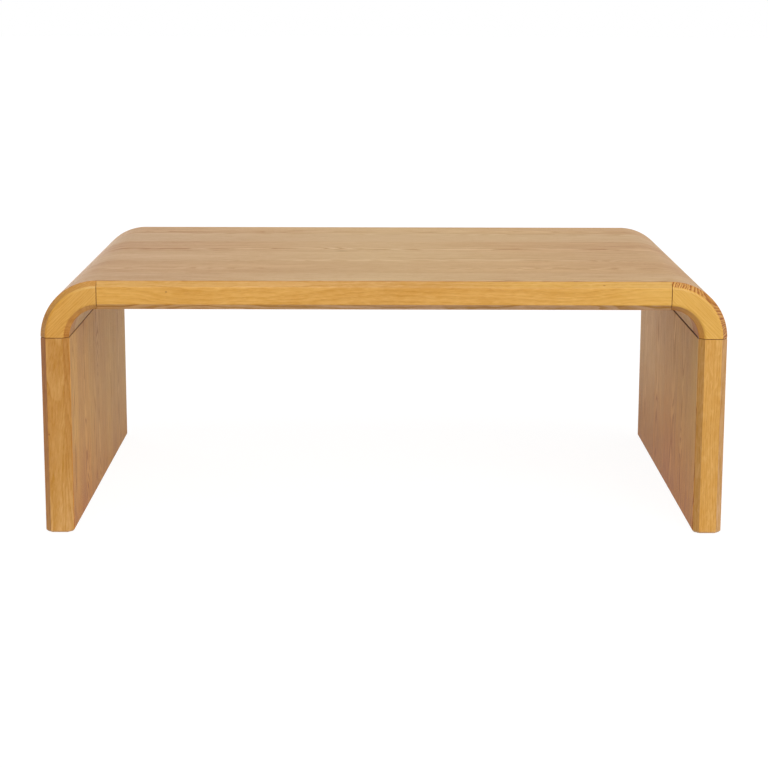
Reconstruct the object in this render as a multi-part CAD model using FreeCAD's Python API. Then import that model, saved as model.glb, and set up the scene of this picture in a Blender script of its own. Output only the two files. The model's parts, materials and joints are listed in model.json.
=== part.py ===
"""Waterfall coffee table: a veneered top that bends down into two slab legs, with solid oak lipped edges.

Millimetres. +X is to the right, +Y to the back and +Z up. The origin is on the floor, under the middle of
the table.

The top and its two bends are one glued assembly. Each leg is a hollow panel that stands under the end of a
bend, on a flush seam, and is pulled up against it by long bolts that go in through the foot of the leg.
"""
import FreeCAD
import Part
import math
import os

# The table
table_width = 1200.0
table_depth = 800.0
wood_height = 450.0            # without the glides
panel_thickness = 50.0
bend_radius = 100.0            # outside of the bends

# Edges
edge_chamfer = 10.0            # along the front and rear edges, all the way round the arch
foot_ease = 3.0                # round the foot of each leg
seam_ease = 0.8                # on both sides of a seam, so that it reads as a fine V groove

# Layers of the panels
veneer_thickness = 0.6
skin_thickness = 9.0
lipping_depth = 25.0           # solid oak along the front and rear edges
foot_strip_thickness = 12.0    # solid oak along the foot of each leg

# Frame inside the top
top_side_rail_width = 40.0
top_end_rail_width = 60.0
top_rib_width = 30.0
top_rib_count = 5

# Frame inside each leg
leg_rail_width = 60.0
leg_stile_width = 40.0
leg_middle_stile_width = 30.0

# Coopered core of each bend
stave_count = 4

# Wooden dowels, half their length on each side of a seam
dowel_diameter = 10.0
dowel_length = 50.0
dowel_chamfer = 1.0
dowel_hole_spare = 1.0         # empty depth past each end of a dowel
dowel_end_inset = 35.0         # from the end of the core to the first dowel
top_dowel_count = 6

# Bolts that hold a leg up against its bend
bolt_count = 3
bolt_diameter = 8.0
bolt_head_diameter = 13.0
bolt_head_height = 8.0
bolt_socket_width = 6.0        # across the flats of the hexagon
bolt_socket_depth = 4.5
bolt_hole_diameter = 9.0
bolt_recess_diameter = 19.0
bolt_recess_depth = 34.0       # from the bottom of the leg to the washer
bolt_end_inset = 125.0         # from the end of the core to the first bolt
washer_diameter = 17.0
washer_thickness = 1.6
insert_diameter = 14.0
insert_length = 22.0
thread_engagement = 18.0
insert_hole_spare = 2.0        # empty depth past the insert

# Glides that plug the bolt recesses
glide_diameter = 32.0
glide_height = 2.0
glide_ease = 0.6
spigot_length = 12.0
spigot_ease = 1.0
spigot_clearance = 0.1         # on the radius

# Every cutter runs past its material by this much
cut_overrun = 5.0

# Places that follow from the sizes above
half_width = table_width / 2
half_depth = table_depth / 2
table_height = glide_height + wood_height
bend_axis_x = half_width - bend_radius
seam_height = table_height - bend_radius
inner_bend_radius = bend_radius - panel_thickness
underside_height = table_height - panel_thickness
leg_inner_x = half_width - panel_thickness
leg_foot_height = glide_height
core_front = lipping_depth - half_depth
core_rear = half_depth - lipping_depth
core_inner = veneer_thickness + skin_thickness
core_outer = panel_thickness - core_inner
core_middle = panel_thickness / 2

X_AXIS = FreeCAD.Vector(1, 0, 0)
Y_AXIS = FreeCAD.Vector(0, 1, 0)
Z_AXIS = FreeCAD.Vector(0, 0, 1)
QUARTER_TURN = 90              # degrees, from the flat top to the upright leg
SIDES = ("left", "right")


def export(name, solids):
    """Writes one node, from one solid or a list of them."""
    shape = solids if isinstance(solids, Part.Shape) else Part.makeCompound(solids)
    shape.exportStep(os.path.join("parts", name + ".step"))
    print(name, len(shape.Solids), "solids,", round(shape.Volume), "mm3")


def export_on_side(name, side, solids):
    """Writes a node that is drawn on the right, mirrored for the left."""
    drawn = solids if isinstance(solids, list) else [solids]
    if side == "left":
        drawn = [solid.mirror(FreeCAD.Vector(), X_AXIS) for solid in drawn]
    export(side + "_" + name, drawn)


def evenly_spaced(first, last, count):
    """Places from first to last, both included."""
    if count == 1:
        return [(first + last) / 2]
    step = (last - first) / (count - 1)
    return [first + step * index for index in range(count)]


def block(x_low, x_high, y_low, y_high, z_low, z_high):
    corner = FreeCAD.Vector(x_low, y_low, z_low)
    return Part.makeBox(x_high - x_low, y_high - y_low, z_high - z_low, corner)


def rod(diameter, length, start, direction):
    return Part.makeCylinder(diameter / 2, length, start, direction)


def eased_rod(diameter, length, ease, start, direction):
    """A round peg with a small chamfer on both ends."""
    peg = rod(diameter, length, start, direction)
    rims = [edge for edge in peg.Edges if isinstance(edge.Curve, Part.Circle)]
    return peg.makeChamfer(ease, rims)


def panel_outline(place):
    """The panel's cross-section with its four chamfered corners. Place turns a height in the panel and a
    depth along Y into a point, where height 0 is the inside of the arch."""
    outline = []
    for end in (-1, 1):
        corners = [
            (0, half_depth - edge_chamfer),
            (edge_chamfer, half_depth),
            (panel_thickness - edge_chamfer, half_depth),
            (panel_thickness, half_depth - edge_chamfer),
        ]
        if end == 1:
            corners.reverse()
        outline += [place(height, end * depth) for height, depth in corners]
    return Part.Face(Part.makePolygon(outline + outline[:1]))


def at_top_end(height, depth):
    """A point of the cross-section where the top meets the right bend."""
    return FreeCAD.Vector(bend_axis_x, depth, underside_height + height)


def at_leg_foot(height, depth):
    """A point of the cross-section at the foot of the right leg."""
    return FreeCAD.Vector(leg_inner_x + height, depth, leg_foot_height)


bend_centre = FreeCAD.Vector(bend_axis_x, 0, seam_height)
top_envelope = panel_outline(at_top_end).extrude(X_AXIS * (-2 * bend_axis_x))
bend_envelope = panel_outline(at_top_end).revolve(bend_centre, Y_AXIS, QUARTER_TURN)


def make_leg_envelope():
    """The outside of the right leg, with its vertical chamfers and the eased foot."""
    prism = panel_outline(at_leg_foot).extrude(Z_AXIS * (seam_height - leg_foot_height))
    foot_edges = [edge for edge in prism.Edges if edge.BoundBox.ZMax < leg_foot_height + foot_ease]
    return prism.makeChamfer(foot_ease, foot_edges)


leg_envelope = make_leg_envelope()


def top_layer(inner, outer, front, rear, left=-bend_axis_x, right=bend_axis_x):
    """A layer of the flat top, between two heights above the underside."""
    slab = block(left, right, front, rear, underside_height + inner, underside_height + outer)
    return slab.common(top_envelope).Solids[0]


def bend_layer(inner, outer, front, rear, start=0, turn=QUARTER_TURN):
    """A layer of the right bend, between two distances from its inner face. Start and turn are in degrees,
    counted from the top down to the leg."""
    corners = [(inner, front), (outer, front), (outer, rear), (inner, rear), (inner, front)]
    section = Part.Face(Part.makePolygon([at_top_end(*corner) for corner in corners]))
    section.rotate(bend_centre, Y_AXIS, start)
    return section.revolve(bend_centre, Y_AXIS, turn).common(bend_envelope).Solids[0]


def leg_layer(inner, outer, front, rear, low=leg_foot_height, high=seam_height):
    """A layer of the right leg, between two distances from its inner face."""
    slab = block(leg_inner_x + inner, leg_inner_x + outer, front, rear, low, high)
    return slab.common(leg_envelope).Solids[0]


def eased_at_seams(lipping, seams):
    """Chamfers a lipping's exposed edges where it ends on a seam. Each seam is an axis letter and a place."""
    edges = []
    for edge in lipping.Edges:
        box = edge.BoundBox
        centre = edge.CenterOfMass
        exposed = abs(centre.y) > half_depth - edge_chamfer
        for axis, place in seams:
            low, high = getattr(box, axis + "Min"), getattr(box, axis + "Max")
            if exposed and abs(low - place) < seam_ease / 2 and abs(high - place) < seam_ease / 2:
                edges.append(edge)
    return lipping.makeChamfer(seam_ease, edges)


# Dowels and bolts stand in the middle of the panel, in rows along Y
top_dowel_places = evenly_spaced(core_front + dowel_end_inset, core_rear - dowel_end_inset, top_dowel_count)
bolt_places = evenly_spaced(core_front + bolt_end_inset, core_rear - bolt_end_inset, bolt_count)
middle_stile_places = [(a + b) / 2 for a, b in zip(bolt_places, bolt_places[1:])]
leg_dowel_places = [core_front + dowel_end_inset] + middle_stile_places + [core_rear - dowel_end_inset]
leg_middle_x = leg_inner_x + core_middle
top_middle_height = underside_height + core_middle


def top_dowel(depth, spare=0.0):
    """A dowel across the joint of top and bend, or the hole for it where spare is given."""
    length = dowel_length + 2 * spare
    start = FreeCAD.Vector(bend_axis_x - length / 2, depth, top_middle_height)
    if spare:
        return rod(dowel_diameter, length, start, X_AXIS)
    return eased_rod(dowel_diameter, length, dowel_chamfer, start, X_AXIS)


def leg_dowel(depth, spare=0.0):
    """A dowel across the seam of leg and bend, or the hole for it where spare is given."""
    length = dowel_length + 2 * spare
    start = FreeCAD.Vector(leg_middle_x, depth, seam_height - length / 2)
    if spare:
        return rod(dowel_diameter, length, start, Z_AXIS)
    return eased_rod(dowel_diameter, length, dowel_chamfer, start, Z_AXIS)


top_dowel_holes = [top_dowel(depth, dowel_hole_spare) for depth in top_dowel_places]
leg_dowel_holes = [leg_dowel(depth, dowel_hole_spare) for depth in leg_dowel_places]

# Heights along a bolt, from the foot up
washer_seat_height = leg_foot_height + bolt_recess_depth
bolt_head_top = washer_seat_height - washer_thickness
bolt_head_bottom = bolt_head_top - bolt_head_height
bolt_end_height = seam_height + thread_engagement


def bolt_recess(depth):
    """The wide hole up through the foot of the leg, as far as the washer."""
    start = FreeCAD.Vector(leg_middle_x, depth, leg_foot_height - cut_overrun)
    return rod(bolt_recess_diameter, bolt_recess_depth + cut_overrun, start, Z_AXIS)


def bolt_hole(depth):
    """The clearance hole through the leg's rails."""
    start = FreeCAD.Vector(leg_middle_x, depth, leg_foot_height)
    return rod(bolt_hole_diameter, seam_height - leg_foot_height + cut_overrun, start, Z_AXIS)


def insert_hole(depth):
    """The blind hole for a threaded insert, up into the bend."""
    start = FreeCAD.Vector(leg_middle_x, depth, seam_height - cut_overrun)
    return rod(insert_diameter, insert_length + insert_hole_spare + cut_overrun, start, Z_AXIS)


def make_bolt(depth):
    """A long socket-head bolt, standing on its head inside the foot of the leg."""
    head_start = FreeCAD.Vector(leg_middle_x, depth, bolt_head_bottom)
    shank_start = FreeCAD.Vector(leg_middle_x, depth, bolt_head_top)
    head = rod(bolt_head_diameter, bolt_head_height, head_start, Z_AXIS)
    shank = rod(bolt_diameter, bolt_end_height - bolt_head_top, shank_start, Z_AXIS)
    hexagon_turn = 60
    corner_radius = bolt_socket_width / 2 / math.cos(math.radians(hexagon_turn / 2))
    hexagon = []
    for angle in range(0, 360, hexagon_turn):
        towards_corner = FreeCAD.Rotation(Z_AXIS, angle).multVec(X_AXIS)
        hexagon.append(head_start + towards_corner * corner_radius)
    socket = Part.Face(Part.makePolygon(hexagon + hexagon[:1])).extrude(Z_AXIS * bolt_socket_depth)
    return head.fuse(shank).removeSplitter().cut(socket).Solids[0]


def make_washer(depth):
    start = FreeCAD.Vector(leg_middle_x, depth, washer_seat_height - washer_thickness)
    disc = rod(washer_diameter, washer_thickness, start, Z_AXIS)
    return disc.cut(rod(bolt_diameter, washer_thickness, start, Z_AXIS)).Solids[0]


def make_insert(depth):
    """A threaded sleeve in the end of the bend. Its thread is a plain bore of the bolt's size."""
    start = FreeCAD.Vector(leg_middle_x, depth, seam_height)
    sleeve = rod(insert_diameter, insert_length, start, Z_AXIS)
    return sleeve.cut(rod(bolt_diameter, insert_length, start, Z_AXIS)).Solids[0]


def make_glide(depth):
    """A plastic disc under the leg, with a spigot that plugs the bolt's recess."""
    disc_start = FreeCAD.Vector(leg_middle_x, depth, 0)
    disc = rod(glide_diameter, glide_height, disc_start, Z_AXIS)
    lower_rim = [edge for edge in disc.Edges if edge.BoundBox.ZMax < glide_ease]
    disc = disc.makeChamfer(glide_ease, lower_rim)
    spigot_start = FreeCAD.Vector(leg_middle_x, depth, leg_foot_height)
    spigot = rod(bolt_recess_diameter - 2 * spigot_clearance, spigot_length, spigot_start, Z_AXIS)
    spigot_top = leg_foot_height + spigot_length
    upper_rim = [edge for edge in spigot.Edges if edge.BoundBox.ZMin > spigot_top - spigot_ease]
    spigot = spigot.makeChamfer(spigot_ease, upper_rim)
    return disc.fuse(spigot).removeSplitter().Solids[0]


def make_arch_veneer(inner, outer):
    """One sheet of veneer that runs up a bend, across the top and down the other bend. It stops just short of
    the seams above the legs."""
    seam_gap_angle = math.degrees(seam_ease / (inner_bend_radius + inner))
    bend = bend_layer(inner, outer, -half_depth, half_depth, turn=QUARTER_TURN - seam_gap_angle)
    flat = top_layer(inner, outer, -half_depth, half_depth)
    other_bend = bend.mirror(FreeCAD.Vector(), X_AXIS)
    return flat.fuse([bend, other_bend]).removeSplitter().Solids[0]


def build_top():
    """The hollow flat panel between the two bends, and the veneers that cover panel and bends."""
    export("outer_veneer", make_arch_veneer(panel_thickness - veneer_thickness, panel_thickness))
    export("inner_veneer", make_arch_veneer(0, veneer_thickness))
    export("top_lower_skin", top_layer(veneer_thickness, core_inner, core_front, core_rear))
    export("top_upper_skin", top_layer(core_outer, panel_thickness - veneer_thickness, core_front, core_rear))

    rib_front = core_front + top_side_rail_width
    rib_rear = core_rear - top_side_rail_width
    end_rail_inner = bend_axis_x - top_end_rail_width
    for side in SIDES:
        end_rail = top_layer(core_inner, core_outer, core_front, core_rear, left=end_rail_inner)
        export_on_side("top_end_rail", side, end_rail.cut(top_dowel_holes).Solids[0])
    between_ends = (-end_rail_inner, end_rail_inner)
    export("top_front_rail", top_layer(core_inner, core_outer, core_front, rib_front, *between_ends))
    export("top_rear_rail", top_layer(core_inner, core_outer, rib_rear, core_rear, *between_ends))

    # The ribs share the room between the end rails
    bay_centres = evenly_spaced(-end_rail_inner, end_rail_inner, top_rib_count + 2)[1:-1]
    half_rib = top_rib_width / 2
    ribs = []
    for centre in bay_centres:
        rib = top_layer(core_inner, core_outer, rib_front, rib_rear, centre - half_rib, centre + half_rib)
        ribs.append(rib)
    export("top_ribs", ribs)

    lipping_ends = [("X", -bend_axis_x), ("X", bend_axis_x)]
    front = top_layer(veneer_thickness, panel_thickness - veneer_thickness, -half_depth, core_front)
    rear = top_layer(veneer_thickness, panel_thickness - veneer_thickness, core_rear, half_depth)
    export("top_front_lipping", eased_at_seams(front, lipping_ends))
    export("top_rear_lipping", eased_at_seams(rear, lipping_ends))


def build_bend(side):
    """A quarter-round bend: a core of long staves, glued edge to edge, with a solid oak block on each end."""
    stave_turn = QUARTER_TURN / stave_count
    holes = top_dowel_holes + leg_dowel_holes + [insert_hole(depth) for depth in bolt_places]
    staves = []
    for index in range(stave_count):
        stave = bend_layer(
            veneer_thickness, panel_thickness - veneer_thickness, core_front, core_rear,
            start=index * stave_turn, turn=stave_turn)
        staves.append(stave.cut(holes).Solids[0])
    export_on_side("bend_staves", side, staves)

    block_ends = [("X", bend_axis_x), ("Z", seam_height)]
    front = bend_layer(veneer_thickness, panel_thickness - veneer_thickness, -half_depth, core_front)
    rear = bend_layer(veneer_thickness, panel_thickness - veneer_thickness, core_rear, half_depth)
    export_on_side("bend_front_lipping", side, eased_at_seams(front, block_ends))
    export_on_side("bend_rear_lipping", side, eased_at_seams(rear, block_ends))
    export_on_side("bend_dowels", side, [top_dowel(depth) for depth in top_dowel_places])
    export_on_side("bend_inserts", side, [make_insert(depth) for depth in bolt_places])


def build_leg(side):
    """A hollow slab leg: two skins on a frame, lipped with solid oak and veneered."""
    strip_top = leg_foot_height + foot_strip_thickness
    foot_rail_top = strip_top + leg_rail_width
    head_rail_bottom = seam_height - leg_rail_width
    veneer_top = seam_height - seam_ease
    inner_face = veneer_thickness
    outer_face = panel_thickness - veneer_thickness
    bolt_holes = [bolt_hole(depth) for depth in bolt_places]
    recesses = [bolt_recess(depth) for depth in bolt_places]

    inner_veneer = leg_layer(0, inner_face, -half_depth, half_depth, high=veneer_top)
    outer_veneer = leg_layer(outer_face, panel_thickness, -half_depth, half_depth, high=veneer_top)
    inner_skin = leg_layer(inner_face, core_inner, core_front, core_rear, strip_top)
    outer_skin = leg_layer(core_outer, outer_face, core_front, core_rear, strip_top)
    export_on_side("leg_inner_veneer", side, inner_veneer)
    export_on_side("leg_outer_veneer", side, outer_veneer)
    export_on_side("leg_inner_skin", side, inner_skin)
    export_on_side("leg_outer_skin", side, outer_skin)

    head_rail = leg_layer(core_inner, core_outer, core_front, core_rear, head_rail_bottom)
    export_on_side("leg_head_rail", side, head_rail.cut(bolt_holes + leg_dowel_holes).Solids[0])
    foot_rail = leg_layer(core_inner, core_outer, core_front, core_rear, strip_top, foot_rail_top)
    export_on_side("leg_foot_rail", side, foot_rail.cut(bolt_holes + recesses).Solids[0])
    foot_strip = leg_layer(inner_face, outer_face, core_front, core_rear, high=strip_top)
    export_on_side("leg_foot_strip", side, foot_strip.cut(recesses).Solids[0])

    front_stile = leg_layer(
        core_inner, core_outer, core_front, core_front + leg_stile_width, foot_rail_top, head_rail_bottom)
    rear_stile = leg_layer(
        core_inner, core_outer, core_rear - leg_stile_width, core_rear, foot_rail_top, head_rail_bottom)
    export_on_side("leg_front_stile", side, front_stile)
    export_on_side("leg_rear_stile", side, rear_stile)
    half_stile = leg_middle_stile_width / 2
    middle_stiles = []
    for depth in middle_stile_places:
        stile = leg_layer(
            core_inner, core_outer, depth - half_stile, depth + half_stile, foot_rail_top, head_rail_bottom)
        middle_stiles.append(stile)
    export_on_side("leg_middle_stiles", side, middle_stiles)

    lipping_ends = [("Z", seam_height)]
    front = leg_layer(inner_face, outer_face, -half_depth, core_front)
    rear = leg_layer(inner_face, outer_face, core_rear, half_depth)
    export_on_side("leg_front_lipping", side, eased_at_seams(front, lipping_ends))
    export_on_side("leg_rear_lipping", side, eased_at_seams(rear, lipping_ends))

    export_on_side("leg_dowels", side, [leg_dowel(depth) for depth in leg_dowel_places])
    export_on_side("leg_bolts", side, [make_bolt(depth) for depth in bolt_places])
    export_on_side("leg_washers", side, [make_washer(depth) for depth in bolt_places])
    export_on_side("leg_glides", side, [make_glide(depth) for depth in bolt_places])


os.makedirs("parts", exist_ok=True)
build_top()
for side in SIDES:
    build_bend(side)
    build_leg(side)
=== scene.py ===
# %% [markdown]
# # An oak coffee table whose top bends down into its legs
#
# The table is a slab 50 mm thick. It runs flat for a metre, turns down through two quarter rounds, and
# stands on two upright panels. Oak veneer covers the wide faces, and solid oak lippings form the front and
# rear edges, with a broad chamfer on both sides.
#
# The CAD model already holds every piece at its real size. This script keeps the pieces that nobody sees as
# they are, and builds the pieces that show again: with round bends, softened arrises, and a record of how
# each board lay in its tree, which is what the oak figure is drawn from.

import json
import math

import bmesh
import bpy
from mathutils import Matrix, Vector


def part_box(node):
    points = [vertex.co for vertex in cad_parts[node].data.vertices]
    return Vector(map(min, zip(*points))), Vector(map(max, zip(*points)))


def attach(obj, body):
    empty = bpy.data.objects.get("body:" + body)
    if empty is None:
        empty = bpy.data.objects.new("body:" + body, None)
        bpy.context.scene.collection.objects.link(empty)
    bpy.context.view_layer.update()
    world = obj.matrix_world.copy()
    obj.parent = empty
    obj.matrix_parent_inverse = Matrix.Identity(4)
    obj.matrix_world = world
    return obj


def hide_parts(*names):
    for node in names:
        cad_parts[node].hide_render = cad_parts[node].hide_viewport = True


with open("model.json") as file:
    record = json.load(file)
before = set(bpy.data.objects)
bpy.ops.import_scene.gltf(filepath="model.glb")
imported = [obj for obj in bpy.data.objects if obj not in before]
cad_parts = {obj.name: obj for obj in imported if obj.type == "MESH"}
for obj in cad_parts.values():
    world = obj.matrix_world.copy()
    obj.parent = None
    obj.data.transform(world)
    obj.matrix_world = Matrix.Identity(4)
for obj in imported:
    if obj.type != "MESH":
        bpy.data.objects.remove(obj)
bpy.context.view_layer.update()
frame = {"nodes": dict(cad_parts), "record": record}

# %% [markdown]
# ## Sizes
#
# The places come from the boxes of the CAD nodes, so the new pieces land where the old ones were. The right
# half is measured, and the left half mirrors it.

# %% Read the sizes from the CAD nodes
MM = 0.001
LEFT, RIGHT = "left", "right"
WAY = {LEFT: -1, RIGHT: 1}                 # along X
DEPTH = {"front": -1, "rear": 1}           # along Y

top_lipping_low, top_lipping_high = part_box("top_front_lipping")
leg_lipping_low, leg_lipping_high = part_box("right_leg_front_lipping")
veneer_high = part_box("outer_veneer")[1]

half_depth = -top_lipping_low.y
glue_line = -top_lipping_high.y            # where the lippings are glued to the core
bend_axis_x = top_lipping_high.x
seam_height = leg_lipping_high.z           # the seam between bend and leg
foot_height = leg_lipping_low.z            # the wood ends here, on glides
table_height = veneer_high.z
inner_face_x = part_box("right_leg_inner_veneer")[0].x
outer_face_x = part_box("right_leg_outer_veneer")[1].x
veneer = leg_lipping_low.x - inner_face_x  # thickness
panel = outer_face_x - inner_face_x        # thickness
underside_height = table_height - panel
outer_radius = table_height - seam_height
inner_radius = outer_radius - panel
chamfer = half_depth + veneer - veneer_high.y
chamfer_start = half_depth - chamfer       # the chamfers begin this far from the middle
joint_line = chamfer_start + veneer        # a lipping's chamfer begins here, under the veneer

foot_ease = 3 * MM
seam_ease, seam_depth = 0.7 * MM, 0.9 * MM   # half the width of a seam's V groove, and its depth
sheet_gaps = {LEFT: 1.0 * MM, RIGHT: 1.8 * MM}  # the veneers stop this far from a seam
arris_ease = 2.2 * MM                      # the long arrises are rounder
veneer_arris = 0.25 * MM
round_steps = 48
touching = 0.01 * MM                       # points closer than this lie in the same place
near_edge = 0.1 * MM
crisp_angle = math.radians(10)             # edges sharper than this stay crisp
QUARTER_TURN = math.pi / 2
print("chamfer", round(chamfer / MM, 2), "mm, bend radius", round(outer_radius / MM, 1), "mm outside and",
      round(inner_radius / MM, 1), "mm inside, veneer", round(veneer / MM, 2), "mm")

# %% [markdown]
# ## The camera
#
# The photograph was taken from almost straight in front and a little above the table, with a long lens. The
# place, the tilt and the focal length come from a least-squares fit of the table's corners and edges, so the
# render lies on the photograph.

# %% Place the camera
def new_object(name, data):
    made = bpy.data.objects.new(name, data)
    bpy.context.collection.objects.link(made)
    return made


camera_data = bpy.data.cameras.new("camera")
camera_data.sensor_width = 36
camera_data.lens = 95.671
camera_data.clip_start, camera_data.clip_end = 0.1, 100
camera = new_object("camera", camera_data)

turn_right, tilt_down, roll = 0.00355045, 0.1966505, 0.00265588
aim = (Matrix.Rotation(-turn_right, 3, "Z") @ Matrix.Rotation(QUARTER_TURN - tilt_down, 3, "X")
       @ Matrix.Rotation(roll, 3, "Z"))
camera.location = (-0.012463, -3.903253, 0.969709)
camera.rotation_euler = aim.to_euler()
bpy.context.scene.camera = camera
print("camera", tuple(round(value, 3) for value in camera.location))

# %% [markdown]
# ## A joiner's first tools
#
# A joiner starts from a sawn blank and takes off what isn't wanted with flat cuts. The same works here: a
# unit cube is scaled into a blank, and each cut is one `bisect_plane` that throws away what lies beyond the
# plane. The cut leaves an open rim, which `contextual_create` closes.

# %% Blanks and planed flats
def blank(low, high):
    """A sawn board between two corners."""
    low, high = Vector(low), Vector(high)
    board = bmesh.new()
    bmesh.ops.create_cube(board, size=1)
    bmesh.ops.scale(board, vec=high - low, verts=board.verts)
    bmesh.ops.translate(board, vec=(low + high) / 2, verts=board.verts)
    return board


def everything(board):
    return board.verts[:] + board.edges[:] + board.faces[:]


def cut_at(board, places, axis):
    """Cuts a board's faces in two at some places along an axis, so that they get corners there."""
    for place in places:
        flat = Vector([place * (number == axis) for number in range(3)])
        across = Vector([float(number == axis) for number in range(3)])
        bmesh.ops.bisect_plane(board, geom=everything(board), plane_co=flat, plane_no=across)


def plane_off(board, point, outwards):
    """Planes away what lies beyond a flat through the point, and closes the cut."""
    cut = bmesh.ops.bisect_plane(
        board, geom=everything(board), dist=0.001 * MM, plane_co=point, plane_no=outwards, clear_outer=True)
    rim = [item for item in cut["geom_cut"] if isinstance(item, bmesh.types.BMEdge)]
    if len(rim) > 2:
        bmesh.ops.contextual_create(board, geom=rim)


def plane_to(board, flats):
    for point, outwards in flats:
        plane_off(board, point, outwards)


trial = blank((0, 0, 0), (1, 1, 1))
plane_off(trial, (1, 0.5, 1), (1, 0, 1))
print("a planed cube keeps its six sides:", len(trial.faces) == 6)
trial.free()

# %% [markdown]
# The four long chamfers run along the top, round the bends and down the legs. The foot of each leg is eased
# all round by 3 mm, so that a leg can be dragged over a floor without splintering. Both are lists of flats
# that any layer of the panel is planed to, which is how edges stay flush from the veneer to the lipping.

# %% The flats that bound the top and the right leg
top_flats = [
    ((0, depth * chamfer_start, height), (0, depth, rise))
    for depth in (-1, 1) for height, rise in ((table_height, 1), (underside_height, -1))
]
leg_flats = [
    ((face_x, depth * chamfer_start, 0), (way, depth, 0))
    for depth in (-1, 1) for face_x, way in ((outer_face_x, 1), (inner_face_x, -1))
]
leg_sides = [(Vector(point), Vector(outwards).normalized()) for point, outwards in leg_flats + [
    ((outer_face_x, 0, 0), (1, 0, 0)), ((inner_face_x, 0, 0), (-1, 0, 0)),
    ((0, -half_depth, 0), (0, -1, 0)), ((0, half_depth, 0), (0, 1, 0)),
]]
ease_height = Vector((0, 0, foot_height + foot_ease))
foot_flats = [(side + ease_height, outwards + Vector((0, 0, -1))) for side, outwards in leg_sides]
print(len(top_flats), "flats on the top,", len(leg_flats + foot_flats), "on a leg")

# %% [markdown]
# ## From the drawing board to the bend
#
# A bend is a section that travels round an axis, which is just what `spin` does. It takes one face, copies
# it in small turns and joins the copies with walls. With 48 turns in a quarter circle each step is under two
# degrees, and no facet shows.

# %% Carry a section round the bend
def turn_down(board, section, side, turn):
    """Carries a face round the axis of a bend, from the flat top down towards the leg."""
    way = WAY[side]
    bmesh.ops.spin(
        board, geom=[section, *section.edges, *section.verts], cent=(way * bend_axis_x, 0, seam_height),
        axis=(0, way, 0), dvec=(0, 0, 0), angle=turn, steps=round_steps, use_merge=False, use_duplicate=False)


def on_side(board, side):
    """Mirrors a board that was drawn on the right, if it belongs on the left."""
    if side == LEFT:
        bmesh.ops.scale(board, vec=(-1, 1, 1), verts=board.verts)
    bmesh.ops.recalc_face_normals(board, faces=board.faces)


def soften(board, edges, width, segments=2):
    """Takes the sharpness off some edges with a few strokes of sandpaper."""
    bmesh.ops.bevel(
        board, geom=edges, offset=width, offset_type="OFFSET", affect="EDGES", segments=segments,
        profile=0.5, material=-1, clamp_overlap=True)


def to_seam(point):
    """How far a point of a lipping lies from the nearest seam."""
    return min(abs(point.z - seam_height), abs(abs(point.x) - bend_axis_x))


def at_seam(vert):
    return to_seam(vert.co) < touching


def at_end(vert):
    return at_seam(vert) or abs(vert.co.z - foot_height) < touching


def exposed_edges(board):
    """A lipping's sharp edges outside the joint with the veneers."""
    return [
        edge for edge in board.edges
        if abs((edge.verts[0].co + edge.verts[1].co).y) / 2 > joint_line + near_edge
        and edge.calc_face_angle(0) > crisp_angle
    ]


def round_arrises(board):
    long_ones = [edge for edge in exposed_edges(board) if not all(at_end(vert) for vert in edge.verts)]
    soften(board, long_ones, arris_ease)


off_glue = 1 * MM


def ease_ends(board):
    """Eases the ends at the seams. Two eased ends make a V groove, which is then cut deeper."""
    round_ends = [edge for edge in exposed_edges(board) if all(at_seam(vert) for vert in edge.verts)]
    soften(board, round_ends, seam_ease, segments=1)
    for vert in board.verts:
        if at_seam(vert) and abs(vert.co.y) > glue_line + off_glue:
            vert.co.y -= math.copysign(seam_depth - seam_ease, vert.co.y)


print("each step of a bend turns", round(math.degrees(QUARTER_TURN) / round_steps, 2), "degrees")

# %% [markdown]
# ## Where each board lay in its tree
#
# Oak gets its look from three things that run through the log: growth rings round the heart, open pores in
# the spring wood of every ring, and rays that run out from the heart. A painted image can't turn a corner or
# meet a chamfer correctly. So every piece carries a "grain" attribute instead: for each corner of each face,
# the place in the tree in metres, as distance along the trunk, distance sideways of the heart, and distance
# from the heart towards the bark. Both distances from the heart are stretched for a tree that grew slowly,
# which narrows its rings. The material then draws rings, pores and rays in three dimensions, and a chamfer
# shows them cut at another angle, as a real one does.
#
# Another attribute, "board", holds three numbers: the board's tone, because boards differ in colour from tree
# to tree, which in a few places also paints light and shade; how much lacquer its surface soaked up, which
# turns machined chamfers orange, and which also paints shade, darker and more orange, low on inner faces and
# in hollows; and how much it is pale, greyer wood from under the bark, which also paints a grey sheen on
# chamfers and bends seen at a low angle. "rings" says how clearly the growth rings show, and "groove" is 1 in
# the depth of a seam, where the seam's shade is painted dark, with some dust and lacquer collected there.

# %% Lay out a board in its log
PLAIN_WOOD = (0.5, 0.0, 0.0, 1.0)


def cut_from_log(centre, along, bark, from_heart, up_trunk, sideways=0.0, slow=1.0):
    """Gives the function that turns a point of a board into its place in the tree. A tree that grew slowly
    has its rings closer together."""
    along = Vector(along).normalized()
    bark = Vector(bark)
    bark = (bark - along * along.dot(bark)).normalized()
    across = along.cross(bark)
    centre = Vector(centre)

    def place(face, point):
        offset = point - centre
        return Vector((along.dot(offset) + up_trunk, slow * across.dot(offset) + sideways,
                       slow * bark.dot(offset) + from_heart))

    return place


def wood(looks):
    """A wood is its tone, its lacquer soaked in, which also paints shade, its pale grey wood from under the
    bark, which also paints a grey sheen, and its ring clarity. The last ones may be left out, and a bare
    number is a tone."""
    looks = looks if isinstance(looks, tuple) else (looks,)
    return Vector(looks + PLAIN_WOOD[len(looks):])


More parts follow.
